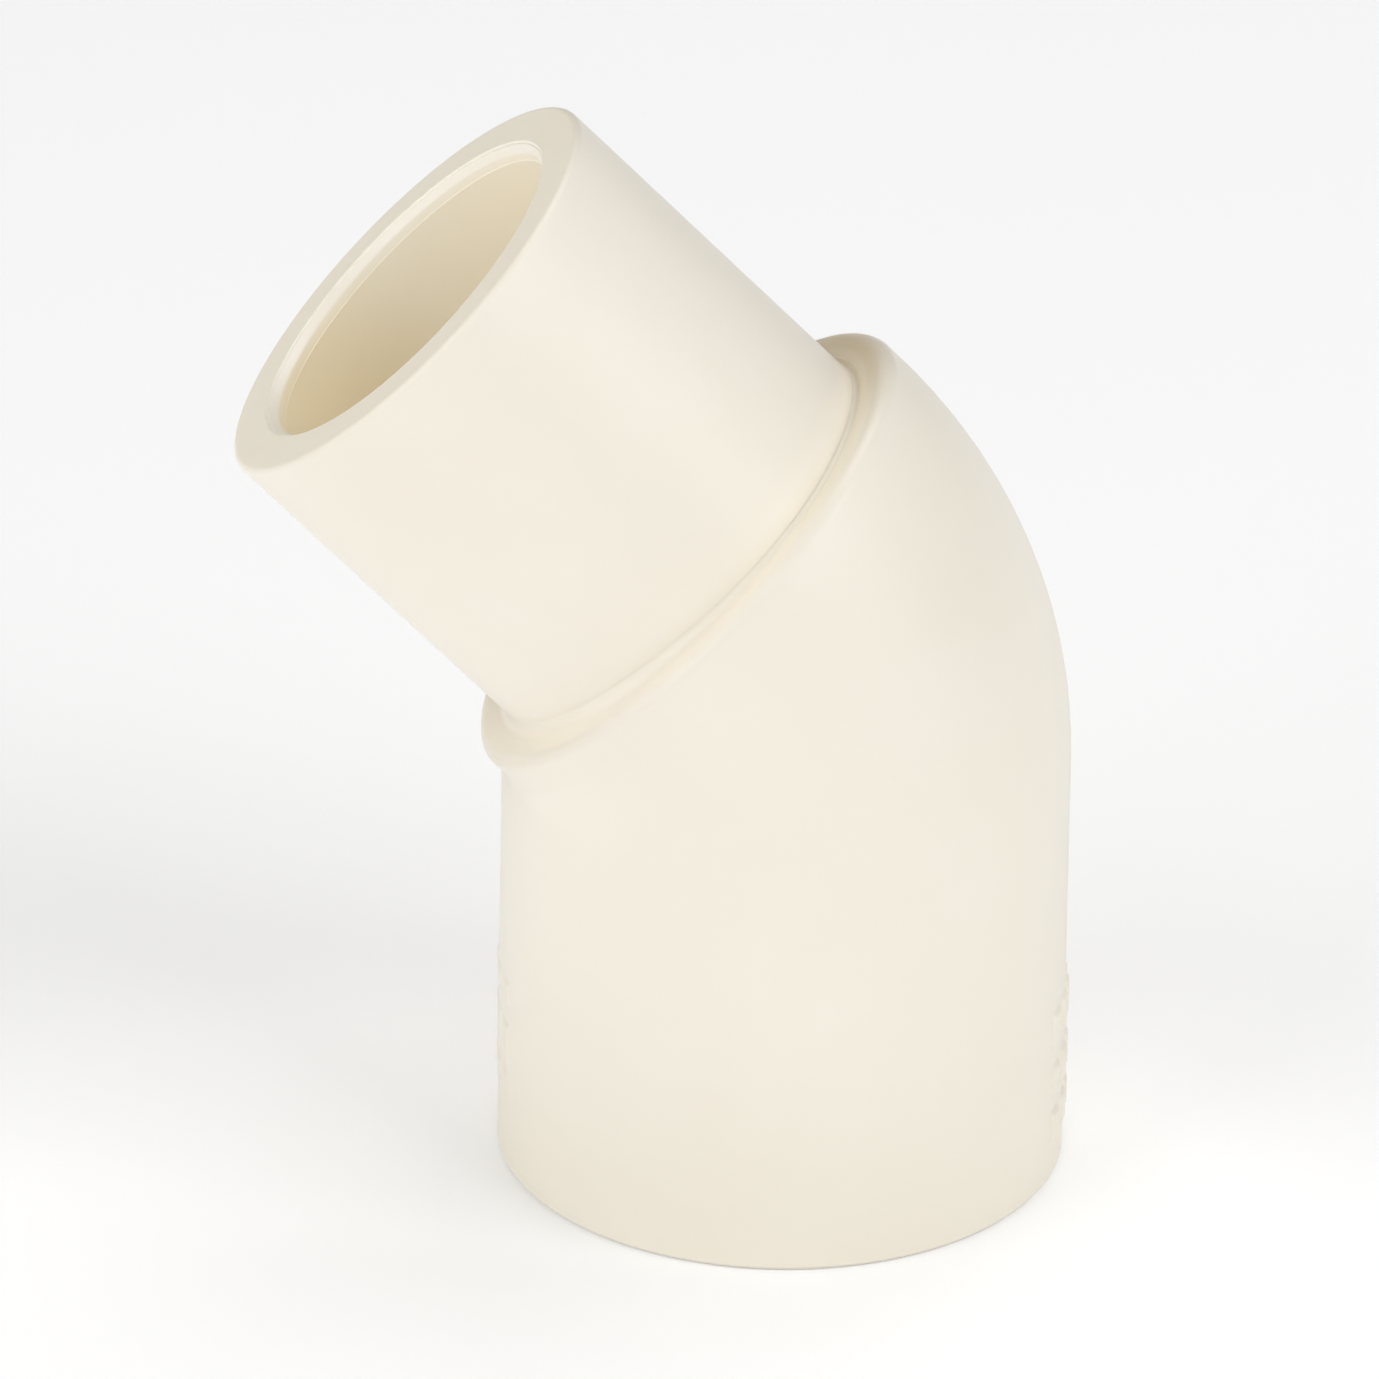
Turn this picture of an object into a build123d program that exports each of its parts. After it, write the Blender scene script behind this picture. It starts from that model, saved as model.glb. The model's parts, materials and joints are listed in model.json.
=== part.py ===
from build123d import *

import os
from math import cos, radians, sin

# A 45 degree street elbow for 3/4 in copper-tube-size plastic tube: a socket at the
# bottom, and a plain spigot of the tube's own diameter at the top.
#
# Frame: millimetres. The origin is the centre of the socket's mouth, +Z runs up the
# socket's axis, and the spigot leans towards -X in the XZ plane.
#
# The real elbow is one moulding. Its regions are separate solids here, which meet
# face to face where one region's job ends and the next one's starts.

os.makedirs("parts", exist_ok=True)

# ---- driving dimensions ----------------------------------------------------------
TUBE_DIAMETER = 22.225
PASSAGE_RADIUS = 8.4

# the socket takes the tube as far as the stop
SOCKET_RADIUS = 11.14
SOCKET_DEPTH = 17.8
SOCKET_LEAD_IN = 0.4
HUB_MOUTH_RADIUS = 13.33
HUB_EDGE_ROUND = 0.25
STOP_LEAD_IN = 0.7
STOP_SEAT_RADIUS = 12.0

# the curved body
BODY_RADIUS = 13.22
BEND_START = 20.1
BEND_RADIUS = 13.6
BEND_ANGLE = 45

# the shoulder, and the spigot that stands on it
SHOULDER_THICKNESS = 1.55
SHOULDER_EDGE_ROUND = 0.6
SPIGOT_RADIUS = TUBE_DIAMETER / 2
SPIGOT_LENGTH = 18.05
SPIGOT_END_ROUND = 0.35
ROOT_DEPTH = 0.8
ROOT_TIP_RADIUS = 10.3

# the stepped lead-in of the spigot's mouth, as depths below its end face
MOUTH_RADIUS = 8.9
MOUTH_INNER_RADIUS = 8.6
MOUTH_DEPTH = 0.6
STEP_RADIUS = 8.48
STEP_DEPTH = 0.95

# plain raised bars on both sides of the hub, as (bottom, top) heights of each row
RIGHT_ROWS = [(1.9, 3.6), (4.1, 6.0), (6.8, 8.8)]
LEFT_ROWS = [(3.7, 5.0), (5.3, 7.6), (8.5, 9.8)]
BARS_PER_ROW = 5
BAR_ANGLE = 5
BAR_PITCH = 7.5
BAR_RELIEF = 0.2
BAR_ROUND = 0.08

# ---- where the bend ends ---------------------------------------------------------
lean = radians(BEND_ANGLE)
outward = Vector(-sin(lean), 0, cos(lean))
across = Vector(cos(lean), 0, sin(lean))
bend_centre = Vector(-BEND_RADIUS, 0, BEND_START)
bend_end_centre = bend_centre + across * BEND_RADIUS
ledge_centre = bend_end_centre + outward * SHOULDER_THICKNESS

bend_axis = Axis(bend_centre, (0, -1, 0))
spigot_axis = Axis(ledge_centre, outward)

# In each profile plane x is the radius, and y is the height along the axis.
hub_profile = Plane.XZ
spigot_profile = Plane(origin=ledge_centre, x_dir=across, z_dir=(0, -1, 0))


def hub_radius_at(height):
    """The hub's outer radius, which its draft makes smaller towards the bend."""
    return HUB_MOUTH_RADIUS + (BODY_RADIUS - HUB_MOUTH_RADIUS) * height / SOCKET_DEPTH


# ---- socket hub: the drafted cup that the tube is pushed into --------------------
with BuildPart() as socket_hub:
    with BuildSketch(hub_profile):
        with BuildLine():
            Polyline(
                (SOCKET_RADIUS + SOCKET_LEAD_IN, 0),
                (HUB_MOUTH_RADIUS, 0),
                (BODY_RADIUS, SOCKET_DEPTH),
                (SOCKET_RADIUS, SOCKET_DEPTH),
                (SOCKET_RADIUS, SOCKET_LEAD_IN),
                close=True,
            )
        hub_outline = make_face()
        mouth_corners = hub_outline.vertices().group_by(Axis.Y)[0]
        fillet(mouth_corners.sort_by(Axis.X)[-1], HUB_EDGE_ROUND)
    revolve(axis=Axis.Z)

socket_hub.part.label = "socket_hub"
export_step(socket_hub.part, "parts/socket_hub.step")

# ---- tube stop: the ring that the tube's end rests on ----------------------------
# Its outside is a cone, so that only the ring inside the socket faces the tube.
with BuildPart() as tube_stop:
    with BuildSketch(hub_profile):
        with BuildLine():
            Polyline(
                (PASSAGE_RADIUS + STOP_LEAD_IN, SOCKET_DEPTH),
                (SOCKET_RADIUS, SOCKET_DEPTH),
                (STOP_SEAT_RADIUS, BEND_START),
                (PASSAGE_RADIUS, BEND_START),
                (PASSAGE_RADIUS, SOCKET_DEPTH + STOP_LEAD_IN),
                close=True,
            )
        make_face()
    revolve(axis=Axis.Z)

tube_stop.part.label = "tube_stop"
export_step(tube_stop.part, "parts/tube_stop.step")

# ---- bend shell: the curved body, with a straight collar around the tube stop ----
with BuildPart() as bend_shell:
    with BuildSketch(hub_profile):
        with BuildLine():
            Polyline(
                (SOCKET_RADIUS, SOCKET_DEPTH),
                (BODY_RADIUS, SOCKET_DEPTH),
                (BODY_RADIUS, BEND_START),
                (STOP_SEAT_RADIUS, BEND_START),
                close=True,
            )
        make_face()
    revolve(axis=Axis.Z)
    with BuildSketch(Plane.XY.offset(BEND_START)):
        Circle(BODY_RADIUS)
        Circle(PASSAGE_RADIUS, mode=Mode.SUBTRACT)
    revolve(axis=bend_axis, revolution_arc=BEND_ANGLE)

bend_shell.part.label = "bend_shell"
export_step(bend_shell.part, "parts/bend_shell.step")

# ---- shoulder ring: the ledge that a neighbouring socket's rim butts against -----
# It has a conical seat for the spigot's root, and starts where the bend ends.
with BuildPart() as shoulder_ring:
    with BuildSketch(spigot_profile):
        with BuildLine():
            Polyline(
                (PASSAGE_RADIUS, -SHOULDER_THICKNESS),
                (BODY_RADIUS, -SHOULDER_THICKNESS),
                (BODY_RADIUS, 0),
                (SPIGOT_RADIUS, 0),
                (ROOT_TIP_RADIUS, -ROOT_DEPTH),
                (PASSAGE_RADIUS, -ROOT_DEPTH),
                close=True,
            )
        ring_outline = make_face()
        ledge_corners = ring_outline.vertices().group_by(Axis.Y)[-1]
        fillet(ledge_corners.sort_by(Axis.X)[-1], SHOULDER_EDGE_ROUND)
    revolve(axis=spigot_axis)

shoulder_ring.part.label = "shoulder_ring"
export_step(shoulder_ring.part, "parts/shoulder_ring.step")

# ---- spigot tube: the plain end that goes into a neighbouring socket -------------
mouth_floor = SPIGOT_LENGTH - MOUTH_DEPTH
step_floor = SPIGOT_LENGTH - STEP_DEPTH
step_chamfer = STEP_RADIUS - PASSAGE_RADIUS

with BuildPart() as spigot_tube:
    with BuildSketch(spigot_profile):
        with BuildLine():
            Polyline(
                (PASSAGE_RADIUS, -ROOT_DEPTH),
                (ROOT_TIP_RADIUS, -ROOT_DEPTH),
                (SPIGOT_RADIUS, 0),
                (SPIGOT_RADIUS, SPIGOT_LENGTH),
                (MOUTH_RADIUS, SPIGOT_LENGTH),
                (MOUTH_INNER_RADIUS, mouth_floor),
                (STEP_RADIUS, mouth_floor),
                (STEP_RADIUS, step_floor),
                (PASSAGE_RADIUS, step_floor - step_chamfer),
                close=True,
            )
        spigot_outline = make_face()
        end_corners = spigot_outline.vertices().group_by(Axis.Y)[-1]
        fillet(end_corners.sort_by(Axis.X)[-1], SPIGOT_END_ROUND)
    revolve(axis=spigot_axis)

spigot_tube.part.label = "spigot_tube"
export_step(spigot_tube.part, "parts/spigot_tube.step")


# ---- mould marks: rows of plain raised bars, on each side of the hub -------------
def raised_bars(rows, side_angle):
    """Rows of bars standing on the drafted hub, centred on a direction around +Z."""
    first_angle = side_angle - (BAR_PITCH * (BARS_PER_ROW - 1) + BAR_ANGLE) / 2
    with BuildPart() as bars:
        for bottom, top in rows:
            for place in range(BARS_PER_ROW):
                angle = radians(first_angle + BAR_PITCH * place)
                radial = Vector(cos(angle), sin(angle), 0)
                backward = Vector(sin(angle), -cos(angle), 0)
                with BuildSketch(Plane((0, 0, 0), x_dir=radial, z_dir=backward)):
                    with BuildLine():
                        Polyline(
                            (hub_radius_at(bottom), bottom),
                            (hub_radius_at(bottom) + BAR_RELIEF, bottom),
                            (hub_radius_at(top) + BAR_RELIEF, top),
                            (hub_radius_at(top), top),
                            close=True,
                        )
                    bar_outline = make_face()
                    fillet(bar_outline.vertices().sort_by(Axis.X)[-2:], BAR_ROUND)
                revolve(axis=Axis.Z, revolution_arc=BAR_ANGLE)
    return bars.part


mark_sides = [("mould_marks_right", RIGHT_ROWS, 0), ("mould_marks_left", LEFT_ROWS, 180)]
for name, rows, side_angle in mark_sides:
    marks = raised_bars(rows, side_angle)
    marks.label = name
    export_step(marks, f"parts/{name}.step")
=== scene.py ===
import json
from math import ceil, cos, pi, radians, sin, tan

import bpy
import numpy as np
from mathutils import Matrix, Vector


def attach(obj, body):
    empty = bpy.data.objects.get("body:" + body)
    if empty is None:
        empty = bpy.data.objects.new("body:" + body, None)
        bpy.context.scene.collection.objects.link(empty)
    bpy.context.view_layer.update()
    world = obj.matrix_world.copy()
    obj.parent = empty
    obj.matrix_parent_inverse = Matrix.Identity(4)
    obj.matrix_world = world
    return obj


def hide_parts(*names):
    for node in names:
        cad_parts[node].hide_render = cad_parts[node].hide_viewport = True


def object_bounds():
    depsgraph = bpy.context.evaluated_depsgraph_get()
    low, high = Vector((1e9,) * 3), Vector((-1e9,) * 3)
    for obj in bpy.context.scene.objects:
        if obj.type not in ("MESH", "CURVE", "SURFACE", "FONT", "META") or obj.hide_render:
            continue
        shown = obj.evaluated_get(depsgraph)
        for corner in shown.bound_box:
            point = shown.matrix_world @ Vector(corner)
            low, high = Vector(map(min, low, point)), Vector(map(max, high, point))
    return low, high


# A 45 degree street elbow in cream plastic. Every CAD node is one region of a single
# moulding, and a finer mesh stands for it here. Shapes are worked out in millimetres.

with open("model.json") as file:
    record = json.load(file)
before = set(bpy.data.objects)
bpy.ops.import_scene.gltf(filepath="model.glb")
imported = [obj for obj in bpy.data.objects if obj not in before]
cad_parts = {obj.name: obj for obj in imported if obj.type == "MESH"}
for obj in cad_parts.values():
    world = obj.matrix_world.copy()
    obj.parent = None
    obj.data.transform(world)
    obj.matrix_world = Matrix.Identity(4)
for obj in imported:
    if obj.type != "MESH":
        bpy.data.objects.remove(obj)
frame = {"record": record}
cad_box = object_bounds()
mounts = {mount["name"]: mount for mount in frame["record"]["mounts"]}

MM = 0.001

# ---- how finely the meshes are divided -------------------------------------------
UNITS_PER_TURN = 256
BEND_STEPS = 36
ARC_STEP = radians(11)
LEDGE_ARC_STEPS = 9
LONGEST_EDGE = 2.0
LONGEST_SPIGOT_EDGE = 0.5
LONGEST_LEDGE_EDGE = 10.0
SHORTEST_EDGE = 1e-7
BAR_STEPS = 14
BAR_EDGE_STEPS = 5

# ---- dimensions of the moulding, in millimetres ----------------------------------
# Most are the CAD's. The hub's mouth, the spigot's mouth, the bars' relief and edges, and
# roundings under 0.1 mm are this script's own.
HUB_MOUTH_RADIUS = 13.27
BODY_RADIUS = 13.22
BEND_START = 20.1
BEND_RADIUS = 13.6
BEND_ANGLE = radians(45)
SOCKET_LEAD_IN = 0.4
STOP_LEAD_IN = 0.7
STOP_SEAT_RADIUS = 12.0
SHOULDER_THICKNESS = 1.55
ROOT_DEPTH = 0.8
ROOT_TIP_RADIUS = 10.3

# the spigot's mouth: a tiny ledge at its edge, a rounded lead-in, and a fine step
MOUTH_RADIUS = 8.9
EDGE_DEPTH = 0.10
EDGE_RADIUS = 8.86
EDGE_INNER_RADIUS = 8.77
LEAD_IN_RADIUS = 8.50
LEAD_IN_DEPTH = 0.44
STEP_RADIUS = 8.43
STEP_DEPTH = 0.79

# roundings of the corners
RIM_ROUND = 0.25
SOCKET_EDGE_ROUND = 0.08
SPIGOT_END_ROUND = 0.35
MOUTH_ROUND = 0.04
EDGE_ROUND = 0.045
EDGE_INNER_ROUND = 0.05
LEAD_IN_ROUND = 0.3
STEP_ROUND = 0.02

# rows of plain raised bars on the hub, as (bottom, top) heights
RIGHT_ROWS = [(1.9, 3.6), (4.1, 6.0), (6.8, 8.8)]
LEFT_ROWS = [(3.7, 5.0), (5.3, 7.6), (8.5, 9.8)]
BARS_PER_ROW = 5
BAR_ANGLE = radians(5)
BAR_PITCH = radians(7.5)
RIGHT_RELIEF = 0.17
LEFT_RELIEF = 0.09
BAR_EDGE = 0.3
BAR_SINK = 0.03

# ---- places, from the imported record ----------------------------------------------
PASSAGE_RADIUS = mounts["spigot_bore"]["dims"]["r_mm"]
SOCKET_RADIUS = mounts["tube_socket"]["dims"]["r_mm"]
SOCKET_DEPTH = mounts["tube_stop_face"]["pos_m"][2] / MM
SPIGOT_RADIUS = mounts["spigot"]["dims"]["r_mm"]

# angles round the spigot run from across, which is the outside of the bend, to sideways
outward = Vector(mounts["spigot"]["axis"]).normalized()
sideways = Vector((0, 1, 0))
across = sideways.cross(outward)
straight_length = mounts["spigot"]["dims"]["length_mm"]
ledge_centre = Vector(mounts["spigot"]["pos_m"]) / MM - outward * straight_length / 2
spigot_length = (Vector(mounts["spigot_end"]["pos_m"]) / MM - ledge_centre).dot(outward)


# ---- colour of the plastic, with painted light and shade -------------------------
# Light that comes through the wall is warm, so sheltered faces are painted deeper in
# colour.
# Each mesh has a "tint" at its corners, painted light and shade that multiplies the
# outside's cream colour.
CREAM_LIGHT = (0.900, 0.850, 0.749, 1)
CREAM_DEEP = (0.889, 0.832, 0.722, 1)
OUTSIDE = np.array([0.895, 0.841, 0.735])
# painted light: the end face and the ledge are lighter and warmer than the outside, as if
# lit through the wall
END_FACE = np.array([0.985, 0.912, 0.757]) / OUTSIDE
LEDGE = np.array([0.935, 0.873, 0.728]) / OUTSIDE

# Inside a mouth the lead-in's colour, painted light, turns into the passage's between two
# depths. The passage's colour is painted shade, deepest on the inside of the bend, and
# painted light past LIGHT_COSINE, as light through the wall.
LEAD_IN = np.array([0.985, 0.950, 0.870]) / OUTSIDE
LEAD_IN_ENDS, PASSAGE_STARTS = 0.3, 0.6
FAR_INSIDE = 10.0
PASSAGE_SHADE = np.array([0.885, 0.778, 0.568]) / OUTSIDE
PASSAGE_LIT = np.array([0.995, 0.948, 0.815]) / OUTSIDE
LIGHT_COSINE = -0.2

# painted light and shade on the ledge and on its rounded edges, round the spigot: shares
# of their colour, each (angle, spread, share); the first paints the shadow beside the
# spigot
LEDGE_LIGHT_AND_SHADE = [
    (radians(25), radians(32), np.array([0.90, 0.81, 0.69])),
    (radians(200), radians(25), np.array([1.05, 1.04, 1.05])),
    (radians(252), radians(20), np.array([1.01, 1.005, 1.06])),
    (radians(287), radians(20), np.array([0.965, 0.955, 0.97])),
    (radians(330), radians(25), np.array([0.95, 0.94, 0.93])),
]
LEDGE_EDGE_LIGHT_AND_SHADE = [
    (radians(215), radians(30), np.array([0.92, 0.91, 0.89])),
    (radians(330), radians(60), np.array([0.97, 0.97, 0.97])),
]

# painted shade: the hub's foot is a little darker, and its rim, which meets the floor,
# darker still
FOOT_SHADE = np.array([0.95, 0.948, 0.928])
FOOT_HEIGHT = 14.0
RIM_SHADE = np.array([0.60, 0.61, 0.66])

# painted shade: the crotch of the bend is a little darker too
CROTCH_RADIUS, CROTCH_ANGLE = 11.6, radians(195)
CROTCH = (
    ledge_centre
    + across * CROTCH_RADIUS * cos(CROTCH_ANGLE)
    + sideways * CROTCH_RADIUS * sin(CROTCH_ANGLE)
)
CROTCH_SHADE = np.array([0.86, 0.85, 0.85])
CROTCH_SPREAD = 3.5

# painted light: the spigot's root is a little lighter, on the side that faces -Y
ROOT_GLOW = np.array([1.06, 1.07, 1.075])
ROOT_GLOW_ANGLE, ROOT_GLOW_SPREAD = radians(290), radians(55)
ROOT_GLOW_REACH = 1.0
ROOT_GLOW_RADIUS = 11.9
ROOT_GLOW_DEPTH = 0.3


def smooth(value, start, stop):
    """0 before start, 1 after stop, and a smooth rise between them."""
    share = np.clip((value - start) / (stop - start), 0, 1)
    return share * share * (3 - 2 * share)


def bell(turn, middle, spread):
    """1 at an angle round the axis, and falling away on both sides of it."""
    gap = (turn - middle + pi) % (2 * pi) - pi
    return np.exp(-((gap / spread) ** 2))


def blend(first, second, share):
    """Colours between two colours, one for each share."""
    return first + (second - first) * np.reshape(share, (-1, 1))


def root_glow(points, turn):
    """How much of the root's painted light reaches each point."""
    offset = points - np.array(ledge_centre)
    height = offset @ np.array(outward)
    radius = np.linalg.norm(offset - height[:, None] * np.array(outward), axis=1)
    at_root = (radius < ROOT_GLOW_RADIUS) & (height > -ROOT_GLOW_DEPTH)
    facing = at_root * bell(turn, ROOT_GLOW_ANGLE, ROOT_GLOW_SPREAD)
    return facing * np.exp(-np.abs(height) / ROOT_GLOW_REACH)


def tints(points, turn, facing, depth=0, on_ledge=False):
    """The tint, painted light and shade, at points whose angles round the axis are turn.

    facing is the radial part of the normal: 1 outside, 0 on end faces, -1 inside."""
    passage = blend(PASSAGE_SHADE, PASSAGE_LIT, smooth(np.cos(turn), -1, LIGHT_COSINE))
    inside = blend(LEAD_IN, passage, smooth(depth, LEAD_IN_ENDS, PASSAGE_STARTS))
    facing = np.broadcast_to(facing, turn.shape)
    end = np.broadcast_to(END_FACE, points.shape)
    if on_ledge:
        end = np.broadcast_to(LEDGE, points.shape)
        for middle, spread, share in LEDGE_LIGHT_AND_SHADE:
            end = end * blend(1, share, bell(turn, middle, spread))
    # painted shade at the crotch, the foot and the rim, and painted light at the root
    from_crotch = np.linalg.norm(points - np.array(CROTCH), axis=1)
    near_crotch = np.exp(-((from_crotch / CROTCH_SPREAD) ** 2))
    outside = blend(1, ROOT_GLOW, root_glow(points, turn))
    outside = outside * blend(1, CROTCH_SHADE, near_crotch)
    outside = outside * blend(FOOT_SHADE, 1, smooth(points[:, 2], 0, FOOT_HEIGHT))
    at_rim = blend(RIM_SHADE, 1, smooth(points[:, 2], 0, RIM_ROUND))
    outside, end = outside * at_rim, end * at_rim
    colour = np.where(
        facing[:, None] > 0,
        blend(end, outside, np.clip(facing, 0, 1)),
        blend(end, inside, np.clip(-facing, 0, 1)),
    )
    if on_ledge:
        turned = 2 * np.abs(facing) * np.sqrt(np.clip(1 - facing**2, 0, 1))
        for middle, spread, share in LEDGE_EDGE_LIGHT_AND_SHADE:
            colour = colour * blend(1, share, turned * bell(turn, middle, spread))
    return colour


# the tint attribute holds painted light and shade
def set_tint(mesh, tint):
    values = np.ascontiguousarray(tint, np.float32).ravel()
    layer = mesh.attributes.new("tint", "FLOAT_VECTOR", "CORNER")
    layer.data.foreach_set("vector", values)


# ---- meshes ----------------------------------------------------------------------
def mesh_object(name, mesh):
    """A smooth-shaded object of the scene. Custom normals are set after this."""
    mesh.polygons.foreach_set("use_smooth", np.ones(len(mesh.polygons), bool))
    piece = bpy.data.objects.new(name, mesh)
    bpy.context.scene.collection.objects.link(piece)
    return piece


def station(centre, radial, axis):
    """Where a ring lies: its centre, the direction its angles start from, its axis."""
    return Vector(centre), Vector(radial), Vector(axis)


hub_station = station((0, 0, 0), (1, 0, 0), (0, 0, 1))
spigot_station = station(ledge_centre, across, outward)


def corner_run(before, corner, after, rounding, steps=None):
    """Points and outward normals of one rounded corner of an anticlockwise outline."""
    corner = np.array(corner, float)
    way_in = corner - np.array(before, float)
    way_out = np.array(after, float) - corner
    way_in /= np.linalg.norm(way_in)
    way_out /= np.linalg.norm(way_out)
    cross = way_in[0] * way_out[1] - way_in[1] * way_out[0]
    turn = np.arctan2(cross, way_in @ way_out)
    normal_in = np.array([way_in[1], -way_in[0]])
    normal_out = np.array([way_out[1], -way_out[0]])
    if rounding == 0:
        return [(corner, normal_in), (corner, normal_out)]
    start = corner - way_in * rounding * tan(abs(turn) / 2)
    bulge = np.sign(turn)
    centre = start - normal_in * rounding * bulge
    x, y = normal_in
    run = []
    for angle in np.linspace(0, turn, (steps or max(3, ceil(abs(turn) / ARC_STEP))) + 1):
        c, s = cos(angle), sin(angle)
        normal = np.array([c * x - s * y, s * x + c * y])
        run.append((centre + normal * rounding * bulge, normal))
    return run


def outline_edges(corners, longest, steps=None):
    """Edges of a closed outline of (radius, height, rounding) corners.

    Each edge is (start, end, normal at start, normal at end)."""
    count = len(corners)
    runs = []
    for i in range(count):
        before, here, after = corners[i - 1], corners[i], corners[(i + 1) % count]
        runs.append(corner_run(before[:2], here[:2], after[:2], here[2], steps))
    edges = []
    for i in range(count):
        run, following = runs[i], runs[(i + 1) % count]
        for (p, n), (q, m) in zip(run, run[1:]):
            if np.linalg.norm(q - p) > SHORTEST_EDGE:
                edges.append((p, q, n, m))
        p, n = run[-1]
        q = following[0][0]
        pieces = max(1, ceil(np.linalg.norm(q - p) / longest))
        for k in range(pieces):
            a, b = p + (q - p) * k / pieces, p + (q - p) * (k + 1) / pieces
            edges.append((a, b, n, n))
    return edges


def ring_mesh(name, rings, normals, open_at=None, on_ledge=False):
    """A closed skin through rings, each (station, radius, height).

    normals holds, for each ring, the outward (radial, axial) normals at the start and
    at the end of the band that leads from it to the next ring. Any of these may be one
    number, or an array with a number for each angle. open_at is the height of the mouth
    that light enters by."""
    turn = np.arange(UNITS_PER_TURN) * 2 * pi / UNITS_PER_TURN
    c, s = np.cos(turn)[:, None], np.sin(turn)[:, None]
    side = np.array(sideways)

    def around(place, radial, axial):
        radial, axial = np.reshape(radial, (-1, 1)), np.reshape(axial, (-1, 1))
        return radial * (c * np.array(place[1]) + s * side) + axial * np.array(place[2])

    def tint_at(k, facing):
        depth = FAR_INSIDE if open_at is None else abs(rings[k][2] - open_at)
        return tints(points[k], turn, facing, depth, on_ledge)

    points = [
        np.array(place[0]) + around(place, radius, height)
        for place, radius, height in rings
    ]
    count, n = len(rings), UNITS_PER_TURN
    here = np.arange(n)
    there = (here + 1) % n
    faces, loop_normals, tint = [], [], []
    for k in range(count):
        m = (k + 1) % count
        corners = [k * n + here, k * n + there, m * n + there, m * n + here]
        faces.append(np.stack(corners, 1))
        near = around(rings[k][0], *normals[k][0])
        far = around(rings[m][0], *normals[k][1])
        loop_normals.append(np.stack([near[here], near[there], far[there], far[here]], 1))
        near, far = tint_at(k, normals[k][0][0]), tint_at(m, normals[k][1][0])
        tint.append(np.stack([near[here], near[there], far[there], far[here]], 1))
    loop_normals = np.concatenate(loop_normals).reshape(-1, 3)
    loop_normals /= np.linalg.norm(loop_normals, axis=1, keepdims=True)

    faces = np.concatenate(faces).tolist()
    mesh = bpy.data.meshes.new(name)
    mesh.from_pydata((np.concatenate(points) * MM).tolist(), [], faces)
    set_tint(mesh, np.concatenate(tint))
    piece = mesh_object(name, mesh)
    mesh.normals_split_custom_set(loop_normals.tolist())
    return piece


def lathe(name, place, corners, open_at=None, longest=LONGEST_EDGE):
    """A solid of revolution about a station's axis.

    corners is its outline's (radius, height, rounding) corners, anticlockwise."""
    edges = outline_edges(corners, longest)
    rings = [(place, start[0], start[1]) for start, _, _, _ in edges]
    return ring_mesh(name, rings, [(n, m) for _, _, n, m in edges], open_at)


def socket_hub():
    return lathe(
        "socket_hub_skin",
        hub_station,
        [
            (SOCKET_RADIUS + SOCKET_LEAD_IN, 0, SOCKET_EDGE_ROUND),
            (HUB_MOUTH_RADIUS, 0, RIM_ROUND),
            (BODY_RADIUS, SOCKET_DEPTH, 0),
            (SOCKET_RADIUS, SOCKET_DEPTH, 0),
            (SOCKET_RADIUS, SOCKET_LEAD_IN, SOCKET_EDGE_ROUND),
        ],
        open_at=0,
    )


def tube_stop():
    return lathe(
        "tube_stop_skin",
        hub_station,
        [
            (PASSAGE_RADIUS + STOP_LEAD_IN, SOCKET_DEPTH, SOCKET_EDGE_ROUND),
            (SOCKET_RADIUS, SOCKET_DEPTH, 0),
            (STOP_SEAT_RADIUS, BEND_START, 0),
            (PASSAGE_RADIUS, BEND_START, 0),
            (PASSAGE_RADIUS, SOCKET_DEPTH + STOP_LEAD_IN, SOCKET_EDGE_ROUND),
        ],
    )


def bend_shell():
    """The curved body: its collar, its outside, its far end, then its inside."""
    bend_centre = Vector((-BEND_RADIUS, 0, BEND_START))
    stations = []
    for step in range(BEND_STEPS + 1):
        angle = BEND_ANGLE * step / BEND_STEPS
        radial = Vector((cos(angle), 0, sin(angle)))
        axis = Vector((-sin(angle), 0, cos(angle)))
        stations.append(station(bend_centre + radial * BEND_RADIUS, radial, axis))
    out, back = (1, 0), (-1, 0)
    up, down = (0, 1), (0, -1)
    rings, normals = [], []

    def band(place, radius, height, normal):
        rings.append((place, radius, height))
        normals.append((normal, normal))

    band(hub_station, BODY_RADIUS, SOCKET_DEPTH, out)
    for place in stations[:-1]:
        band(place, BODY_RADIUS, 0, out)
    band(stations[-1], BODY_RADIUS, 0, up)
    for place in reversed(stations[1:]):
        band(place, PASSAGE_RADIUS, 0, back)
    band(stations[0], PASSAGE_RADIUS, 0, down)
    seat = Vector((STOP_SEAT_RADIUS - SOCKET_RADIUS, BEND_START - SOCKET_DEPTH))
    seat.normalize()
    band(stations[0], STOP_SEAT_RADIUS, 0, (-seat.y, seat.x))
    band(hub_station, SOCKET_RADIUS, SOCKET_DEPTH, down)
    return ring_mesh("bend_shell_skin", rings, normals)


def ledge_outline(rim, crest, crease_top, crease, root, top):
    """The shoulder's outline, closed below by its seat on the bend and the root's cone.

    rim is the outer edge's rounding. crest, crease_top and crease are whole corners.
    root is the height and rounding of the corner where the spigot's wall begins, and
    top is the height that the fillet reaches on it."""
    return [
        (PASSAGE_RADIUS, -SHOULDER_THICKNESS, 0),
        (BODY_RADIUS, -SHOULDER_THICKNESS, 0),
        (BODY_RADIUS, 0, rim),
        crest,
        crease_top,
        crease,
        (SPIGOT_RADIUS + ROOT_CLEARANCE, *root),
        (SPIGOT_RADIUS, top, 0),
        (SPIGOT_RADIUS, 0, 0),
        (ROOT_TIP_RADIUS, -ROOT_DEPTH, 0),
        (PASSAGE_RADIUS, -ROOT_DEPTH, 0),
    ]


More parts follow.
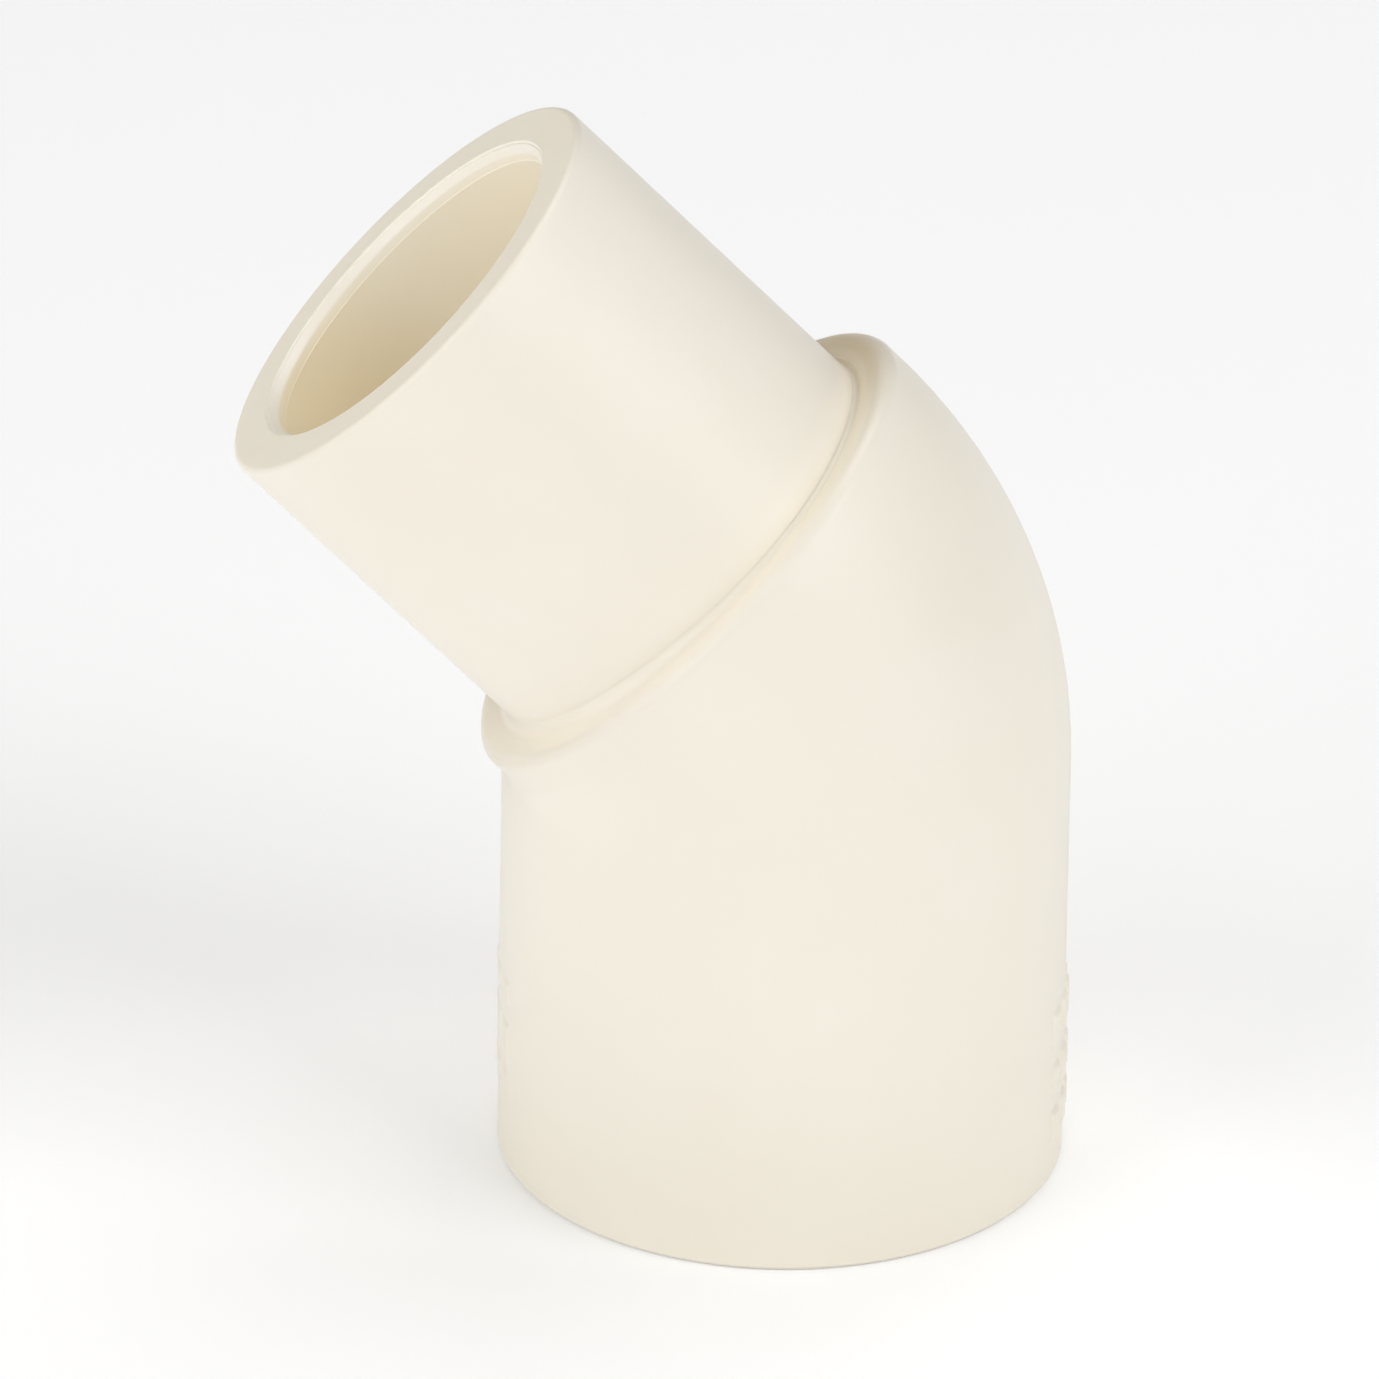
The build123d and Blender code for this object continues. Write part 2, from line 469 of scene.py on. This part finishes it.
# On the outside of the bend the ledge is a shallow lip with a fine crease at its inner
# edge. On the inside of the bend it is flatter, and a fillet runs up the spigot.
ROOT_CLEARANCE = 1e-4
CREASED_LEDGE = ledge_outline(
    rim=0.78,
    crest=(11.95, 0, 1.2),
    crease_top=(11.47, -0.10, 0.06),
    crease=(11.43, -0.16, 0.03),
    root=(-0.22, 0.20),
    top=0.04,
)
SOFT_LEDGE = ledge_outline(
    rim=0.6,
    crest=(12.3, 0, 0.8),
    crease_top=(11.88, -0.010, 0.06),
    crease=(11.8, -0.015, 0.03),
    root=(-0.04, 0.55),
    top=0.54,
)
SOFTENING_STARTS, SOFTENING_ENDS = radians(35), radians(110)


def shoulder_ring():
    """The ledge, whose outline changes from creased to soft round the spigot."""
    turn = np.arange(UNITS_PER_TURN) * 2 * pi / UNITS_PER_TURN
    away = np.abs((turn + pi) % (2 * pi) - pi)
    share = smooth(away, SOFTENING_STARTS, SOFTENING_ENDS)
    rings, normals = [], []
    creased = outline_edges(CREASED_LEDGE, LONGEST_LEDGE_EDGE, LEDGE_ARC_STEPS)
    soft = outline_edges(SOFT_LEDGE, LONGEST_LEDGE_EDGE, LEDGE_ARC_STEPS)
    for first, second in zip(creased, soft, strict=True):
        start, _, near, far = (
            np.outer(a, 1 - share) + np.outer(b, share) for a, b in zip(first, second)
        )
        rings.append((spigot_station, start[0], start[1]))
        normals.append((near, far))
    return ring_mesh("shoulder_ring_skin", rings, normals, on_ledge=True)


def spigot_tube():
    """The plain end, with a tiny ledge, a lead-in and a chamfered step in its mouth."""
    edge_floor = spigot_length - EDGE_DEPTH
    lead_in_floor = spigot_length - LEAD_IN_DEPTH
    step_floor = spigot_length - STEP_DEPTH
    step_chamfer = STEP_RADIUS - PASSAGE_RADIUS
    return lathe(
        "spigot_tube_skin",
        spigot_station,
        [
            (PASSAGE_RADIUS, -ROOT_DEPTH, 0),
            (ROOT_TIP_RADIUS, -ROOT_DEPTH, 0),
            (SPIGOT_RADIUS, 0, 0),
            (SPIGOT_RADIUS, spigot_length, SPIGOT_END_ROUND),
            (MOUTH_RADIUS, spigot_length, MOUTH_ROUND),
            (EDGE_RADIUS, edge_floor, EDGE_ROUND),
            (EDGE_INNER_RADIUS, edge_floor, EDGE_INNER_ROUND),
            (LEAD_IN_RADIUS, lead_in_floor, LEAD_IN_ROUND),
            (STEP_RADIUS, step_floor, STEP_ROUND),
            (PASSAGE_RADIUS, step_floor - step_chamfer, STEP_ROUND),
        ],
        open_at=spigot_length,
        longest=LONGEST_SPIGOT_EDGE,
    )


def graded(length):
    """Places across a bar, closer together at its soft edges."""
    quarter = np.linspace(0, pi / 2, BAR_EDGE_STEPS)
    edge = length / 2 - BAR_EDGE * (1 - np.cos(quarter))
    middle = np.linspace(-edge[-1], edge[-1], BAR_STEPS)[1:-1]
    return np.concatenate([-edge, middle, edge[::-1]])


def block_faces(base, rows, columns):
    """Faces of a closed block: a top grid, a bottom grid, and the band between them."""
    drop = rows * columns

    def at(i, j):
        return base + i * columns + j

    faces = []
    for i in range(rows - 1):
        for j in range(columns - 1):
            quad = [at(i, j), at(i + 1, j), at(i + 1, j + 1), at(i, j + 1)]
            faces.append(quad)
            faces.append([k + drop for k in reversed(quad)])
    rim = [at(i, 0) for i in range(rows)]
    rim += [at(rows - 1, j) for j in range(1, columns)]
    rim += [at(i, columns - 1) for i in range(rows - 2, -1, -1)]
    rim += [at(0, j) for j in range(columns - 2, 0, -1)]
    for a, b in zip(rim, rim[1:] + rim[:1]):
        faces.append([b, a, a + drop, b + drop])
    return faces


def raised_marks(name, rows, side_angle, relief):
    """Rows of plain bars on the drafted hub, each a closed block with soft edges."""
    width = BAR_ANGLE * BODY_RADIUS
    draft = BODY_RADIUS - HUB_MOUTH_RADIUS
    points, faces = [], []
    for bottom, top in rows:
        for place in range(BARS_PER_ROW):
            middle = side_angle + BAR_PITCH * (place - (BARS_PER_ROW - 1) / 2)
            height = top - bottom
            u, v = np.meshgrid(graded(width), graded(height), indexing="ij")
            inset = np.minimum(width / 2 - np.abs(u), height / 2 - np.abs(v))
            rise = relief * smooth(inset / BAR_EDGE, 0, 1)
            level = v + (bottom + top) / 2
            skin = HUB_MOUTH_RADIUS + draft * level / SOCKET_DEPTH
            angle = middle + u / BODY_RADIUS
            base = sum(len(block) for block in points)
            for lift in (rise, np.full_like(rise, -BAR_SINK)):
                radius = skin + lift
                x, y = radius * np.cos(angle), radius * np.sin(angle)
                points.append(np.stack([x, y, level], -1).reshape(-1, 3))
            faces += block_faces(base, *u.shape)
    points = np.concatenate(points)
    mesh = bpy.data.meshes.new(name)
    mesh.from_pydata((points * MM).tolist(), [], faces)
    mesh.validate()
    corners = np.empty(len(mesh.loops), int)
    mesh.loops.foreach_get("vertex_index", corners)
    # the bars take the hub's painted light and shade
    set_tint(mesh, tints(points[corners], np.zeros(len(corners)), facing=1))
    return mesh_object(name, mesh)


# ---- materials -------------------------------------------------------------------
# Noise scales are per millimetre.
PEEL_DEPTH = 0.0022 * MM
WAVE_DEPTH = 0.012 * MM
PLASTIC_IOR = 1.5
PAPER_COLOUR = (0.93, 0.93, 0.93, 1)
PAPER_GLOW = 0.180
WHITE = (1, 1, 1, 1)


def node_material(name):
    material = bpy.data.materials.new(name)
    material.use_nodes = True
    tree = material.node_tree
    return material, tree, tree.nodes["Principled BSDF"]


def in_millimetres(tree):
    """Object coordinates in millimetres, the same on every piece."""
    coordinates = tree.nodes.new("ShaderNodeTexCoord")
    scaled = tree.nodes.new("ShaderNodeVectorMath")
    scaled.operation = "SCALE"
    scaled.inputs["Scale"].default_value = 1 / MM
    tree.links.new(coordinates.outputs["Object"], scaled.inputs[0])
    return scaled.outputs["Vector"]


def noise(tree, place, scale, detail, roughness=0.5):
    node = tree.nodes.new("ShaderNodeTexNoise")
    node.inputs["Scale"].default_value = scale
    node.inputs["Detail"].default_value = detail
    node.inputs["Roughness"].default_value = roughness
    tree.links.new(place, node.inputs["Vector"])
    return node.outputs["Fac"]


def spread_out(tree, value, low, high):
    """Noise, which stays mostly between 0.3 and 0.7, spread over low to high."""
    node = tree.nodes.new("ShaderNodeMapRange")
    node.inputs["From Min"].default_value = 0.3
    node.inputs["From Max"].default_value = 0.7
    node.inputs["To Min"].default_value = low
    node.inputs["To Max"].default_value = high
    tree.links.new(value, node.inputs["Value"])
    return node.outputs["Result"]


def mixed(tree, factor, first, second):
    node = tree.nodes.new("ShaderNodeMix")
    node.data_type = "RGBA"
    tree.links.new(factor, node.inputs["Factor"])
    node.inputs["A"].default_value = first
    node.inputs["B"].default_value = second
    return node.outputs["Result"]


def tinted(tree, colour):
    """A colour times the mesh's tint, its painted light and shade."""
    tint = tree.nodes.new("ShaderNodeAttribute")
    tint.attribute_name = "tint"
    product = tree.nodes.new("ShaderNodeVectorMath")
    product.operation = "MULTIPLY"
    tree.links.new(colour, product.inputs[0])
    tree.links.new(tint.outputs["Vector"], product.inputs[1])
    return product.outputs["Vector"]


def bumpy(tree, height, distance):
    node = tree.nodes.new("ShaderNodeBump")
    node.inputs["Strength"].default_value = 1.0
    node.inputs["Distance"].default_value = distance
    tree.links.new(height, node.inputs["Height"])
    return node


def moulded_plastic():
    """Cream plastic as it leaves the mould: faint flow marks, satin, fine orange peel."""
    material, tree, shader = node_material("moulded_plastic")
    place = in_millimetres(tree)
    flow = noise(tree, place, scale=0.12, detail=3.0, roughness=0.55)
    cream = mixed(tree, spread_out(tree, flow, 0.0, 1.0), CREAM_DEEP, CREAM_LIGHT)
    # the base colour carries the tint's painted light and shade
    tree.links.new(tinted(tree, cream), shader.inputs["Base Color"])

    sheen = noise(tree, place, scale=0.35, detail=4.0, roughness=0.6)
    tree.links.new(spread_out(tree, sheen, 0.34, 0.42), shader.inputs["Roughness"])
    shader.inputs["IOR"].default_value = PLASTIC_IOR

    waves = bumpy(tree, noise(tree, place, scale=0.22, detail=1.0), WAVE_DEPTH)
    peel = bumpy(tree, noise(tree, place, scale=2.6, detail=3.0), PEEL_DEPTH)
    tree.links.new(waves.outputs["Normal"], peel.inputs["Normal"])
    tree.links.new(peel.outputs["Normal"], shader.inputs["Normal"])
    return material


def studio_paper():
    """The floor: pale matt paper that is a little lit from below."""
    material, tree, shader = node_material("studio_paper")
    shader.inputs["Base Color"].default_value = PAPER_COLOUR
    shader.inputs["Specular IOR Level"].default_value = 0.0
    shader.inputs["Emission Color"].default_value = WHITE
    shader.inputs["Emission Strength"].default_value = PAPER_GLOW
    tooth = noise(tree, in_millimetres(tree), scale=0.8, detail=4.0)
    tree.links.new(spread_out(tree, tooth, 0.85, 0.95), shader.inputs["Roughness"])
    return material


# ---- the object ------------------------------------------------------------------
plastic = moulded_plastic()
pieces = {
    "socket_hub": socket_hub(),
    "tube_stop": tube_stop(),
    "bend_shell": bend_shell(),
    "shoulder_ring": shoulder_ring(),
    "spigot_tube": spigot_tube(),
    "mould_marks_right": raised_marks(
        "mould_marks_right_skin", RIGHT_ROWS, 0, RIGHT_RELIEF
    ),
    "mould_marks_left": raised_marks("mould_marks_left_skin", LEFT_ROWS, pi, LEFT_RELIEF),
}
for node, piece in pieces.items():
    piece.data.materials.append(plastic)
    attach(piece, "root")
    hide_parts(node)


# ---- floor, lights and camera ----------------------------------------------------
FLOOR_SIZE = 6.0

centre = (cad_box[0] + cad_box[1]) / 2
floor_z = cad_box[0].z
half = FLOOR_SIZE / 2
floor_corners = [(-half, -half), (half, -half), (half, half), (-half, half)]
floor_mesh = bpy.data.meshes.new("floor")
floor_mesh.from_pydata([(x, y, floor_z) for x, y in floor_corners], [], [(0, 1, 2, 3)])
floor = bpy.data.objects.new("floor", floor_mesh)
bpy.context.scene.collection.objects.link(floor)
floor.data.materials.append(studio_paper())


def way_back(azimuth, elevation):
    """From the object to a camera at these angles. Azimuth 0 looks along +Y."""
    a, e = azimuth, elevation
    return Vector((sin(a) * cos(e), -cos(a) * cos(e), sin(e)))


# square softboxes that face the object: azimuth and elevation in degrees, and watts
SOFTBOXES = [
    (-90, 12, 1.18),
    (-55, 12, 1.57),
    (-55, 42, 0.99),
    (-25, 12, 0.46),
    (0, 42, 0.67),
    (25, 12, 0.13),
    (55, 12, 1.01),
    (55, 42, 2.14),
    (90, 42, 0.66),
    (135, 12, 0.17),
    (135, 42, 0.12),
    (180, 70, 2.20),
]
SOFTBOX_DISTANCE = 0.8
SOFTBOX_SIZE = 0.5
DIFFUSE_BOUNCES = 12

for number, (azimuth, elevation, watts) in enumerate(SOFTBOXES):
    lamp = bpy.data.lights.new(f"softbox_{number}", "AREA")
    lamp.shape = "SQUARE"
    lamp.size = SOFTBOX_SIZE
    lamp.energy = watts
    light = bpy.data.objects.new(lamp.name, lamp)
    back = way_back(radians(azimuth), radians(elevation))
    light.location = centre + back * SOFTBOX_DISTANCE
    light.rotation_mode = "QUATERNION"
    light.rotation_quaternion = back.to_track_quat("Z", "Y")
    bpy.context.scene.collection.objects.link(light)

world = bpy.data.worlds.new("studio")
world.use_nodes = True
background = world.node_tree.nodes["Background"]
background.inputs["Color"].default_value = WHITE
background.inputs["Strength"].default_value = 0.0
bpy.context.scene.world = world
bpy.context.scene.view_settings.view_transform = "Standard"
bpy.context.scene.cycles.diffuse_bounces = DIFFUSE_BOUNCES

# the camera, in millimetres for its lens and metres for its place
SENSOR = 36.0
LENS = 366.0
CLIP_START, CLIP_END = 0.05, 20.0
CAMERA_AZIMUTH = radians(0.674)
CAMERA_ELEVATION = radians(26.855)
CAMERA_ROLL = radians(0.795)
CAMERA_DISTANCE = 0.6489
AIM = Vector((0.001490, 0, -0.002336))


def place_camera():
    back = way_back(CAMERA_AZIMUTH, CAMERA_ELEVATION)
    right = Vector((cos(CAMERA_AZIMUTH), sin(CAMERA_AZIMUTH), 0))
    up = back.cross(right)
    c, s = cos(CAMERA_ROLL), sin(CAMERA_ROLL)
    right, up = c * right + s * up, c * up - s * right
    data = bpy.data.cameras.new("camera")
    data.sensor_width = SENSOR
    data.lens = LENS
    data.clip_start, data.clip_end = CLIP_START, CLIP_END
    camera = bpy.data.objects.new("camera", data)
    spot = centre + AIM + back * CAMERA_DISTANCE
    rows = [(right[i], up[i], back[i], spot[i]) for i in range(3)]
    camera.matrix_world = Matrix(rows + [(0, 0, 0, 1)])
    bpy.context.scene.collection.objects.link(camera)
    bpy.context.scene.camera = camera


place_camera()

bpy.context.view_layer.update()
